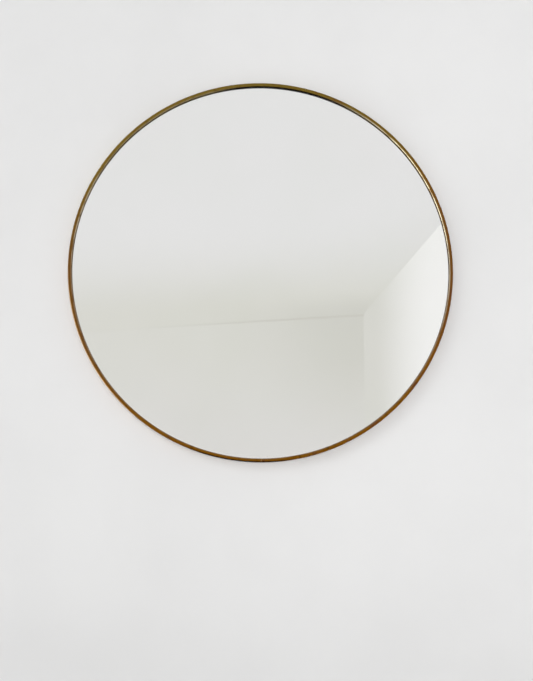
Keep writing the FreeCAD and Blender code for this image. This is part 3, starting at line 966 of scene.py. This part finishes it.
strap_shape = bmesh.new()
strap_corners = [(strap_low.x, strap_low.z), (strap_high.x, strap_low.z),
                 (strap_high.x, hinge.z), (strap_low.x, hinge.z)]
points = [strap_shape.verts.new((x, strap_low.y, z)) for x, z in strap_corners]
strap_shape.faces.new(points)
round_corners(strap_shape, points[:2], strap_end_radius, 10)
thick = bmesh.ops.extrude_face_region(strap_shape, geom=strap_shape.faces[:], use_keep_orig=True)
bmesh.ops.translate(strap_shape, vec=(0, strap_thickness, 0), verts=verts_of(thick["geom"]))
near_top = hinge.z - 0.1 * mm
top_end = [face for face in strap_shape.faces if min(vert.co.z for vert in face.verts) > near_top]
end_geometry = top_end + top_end[0].edges[:] + top_end[0].verts[:]
bmesh.ops.spin(strap_shape, geom=end_geometry, cent=hinge, axis=(-1, 0, 0), angle=roll_angle, steps=40,
               use_merge=False)
bmesh.ops.recalc_face_normals(strap_shape, faces=strap_shape.faces[:])
round_edges(strap_shape, sharp_edges(strap_shape), strap_rounding, 2)
add_piece("hanger_strap", strap_shape, steel_finish)

# %% [markdown]
# Screws of the strap
#
# Two round-headed screws with a straight slot hold the strap. A head is a profile turned about its axis. For
# the slot, two cuts mark a strip across the head, and the faces of that strip are pushed down to the floor
# of the slot.

# %% Slotted screw heads
screw_low, screw_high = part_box("hanger_screws")
pan_radius = screw_high.x
pan_top = screw_high.y
pan_base = strap_low.y + strap_thickness
slot_half = 0.4 * mm
slot_depth = 0.9 * mm
slot_floor = pan_top - slot_depth
pan_outline = [(0, 0), (1.2 * mm, -0.06 * mm), (2.0 * mm, -0.28 * mm), (2.6 * mm, -0.7 * mm),
               (2.92 * mm, -1.2 * mm), (pan_radius, pan_base - pan_top), (0, pan_base - pan_top)]


def slotted_head(height):
    """A round head with a slot along X, at a height on the strap."""
    shape = turned(pan_outline, 48)
    facing = Matrix.Translation((0, pan_top, height)) @ Matrix.Rotation(-quarter, 4, "X")
    bmesh.ops.transform(shape, matrix=facing, verts=shape.verts)
    cuts = [(0, 0, height - slot_half), (0, 0, height + slot_half), (0, slot_floor, height)]
    for point, across in zip(cuts, [(0, 0, 1), (0, 0, 1), y_axis]):
        everything = shape.verts[:] + shape.edges[:] + shape.faces[:]
        bmesh.ops.bisect_plane(shape, geom=everything, plane_co=point, plane_no=across)
    strip = [face for face in shape.faces
             if abs(face.calc_center_median().z - height) < slot_half
             and face.calc_center_median().y > slot_floor]
    sunken = bmesh.ops.extrude_face_region(shape, geom=strip)
    for vert in verts_of(sunken["geom"]):
        vert.co.y = slot_floor
    bmesh.ops.delete(shape, geom=[face for face in strip if face.is_valid], context="FACES")
    bmesh.ops.remove_doubles(shape, verts=shape.verts, dist=0.002 * mm)
    return shape


heads_shape = bmesh.new()
for height in (screw_high.z - pan_radius, screw_low.z + pan_radius):
    join(heads_shape, slotted_head(height))
add_piece("hanger_screws", heads_shape, steel_finish)

# %% [markdown]
# D-ring
#
# The ring is a piece of round wire, bent into a D whose straight side runs through the eye of the strap, with
# its two ends butted inside the eye. It is built as it is bent: a circle of wire is pushed along the
# straight runs and spun round the bends. It rides on its own body, so that it can swing.

# %% D-ring bent from wire
wire_radius = 1.5 * mm
half_bar = 9.25 * mm
corner_radius = 3.25 * mm
leg = 3 * mm
butt_gap = 0.1 * mm

wire_shape = bmesh.new()
butt_end = hinge + Vector((butt_gap, 0, 0))
section_turn = Matrix.Translation(butt_end) @ Matrix.Rotation(quarter, 4, "Y")
bmesh.ops.create_circle(wire_shape, segments=24, radius=wire_radius, matrix=section_turn)
wire_end = wire_shape.edges[:]


def edges_of(geometry):
    """The edges among the things that a bmesh operator gives back."""
    return [item for item in geometry if isinstance(item, bmesh.types.BMEdge)]


def push(edges, offset):
    """Pushes the end of the wire along a straight run and gives back the new end."""
    grown = bmesh.ops.extrude_edge_only(wire_shape, edges=edges)["geom"]
    bmesh.ops.translate(wire_shape, vec=offset, verts=verts_of(grown))
    return edges_of(grown)


def bend(edges, centre, angle, steps):
    """Bends the wire about a centre, in the plane of the D, and gives back the new end."""
    verts = list({vert for edge in edges for vert in edge.verts})
    done = bmesh.ops.spin(wire_shape, geom=verts + edges, cent=centre, axis=(0, -1, 0), angle=angle,
                          steps=steps, use_merge=False)
    return edges_of(done["geom_last"])


bow_centre = hinge + Vector((0, 0, corner_radius + leg))
wire_end = push(wire_end, (half_bar - butt_gap, 0, 0))
wire_end = bend(wire_end, hinge + Vector((half_bar, 0, corner_radius)), quarter, 10)
wire_end = push(wire_end, (0, 0, leg))
wire_end = bend(wire_end, bow_centre, 2 * quarter, 40)
wire_end = push(wire_end, (0, 0, -leg))
wire_end = bend(wire_end, hinge + Vector((-half_bar, 0, corner_radius)), quarter, 10)
wire_end = push(wire_end, (half_bar - butt_gap, 0, 0))
bmesh.ops.holes_fill(wire_shape, edges=[edge for edge in wire_shape.edges if edge.is_boundary])
add_piece("hanging_ring", wire_shape, steel_finish, body="ring")

# %% [markdown]
# The end

# %% The end
import json
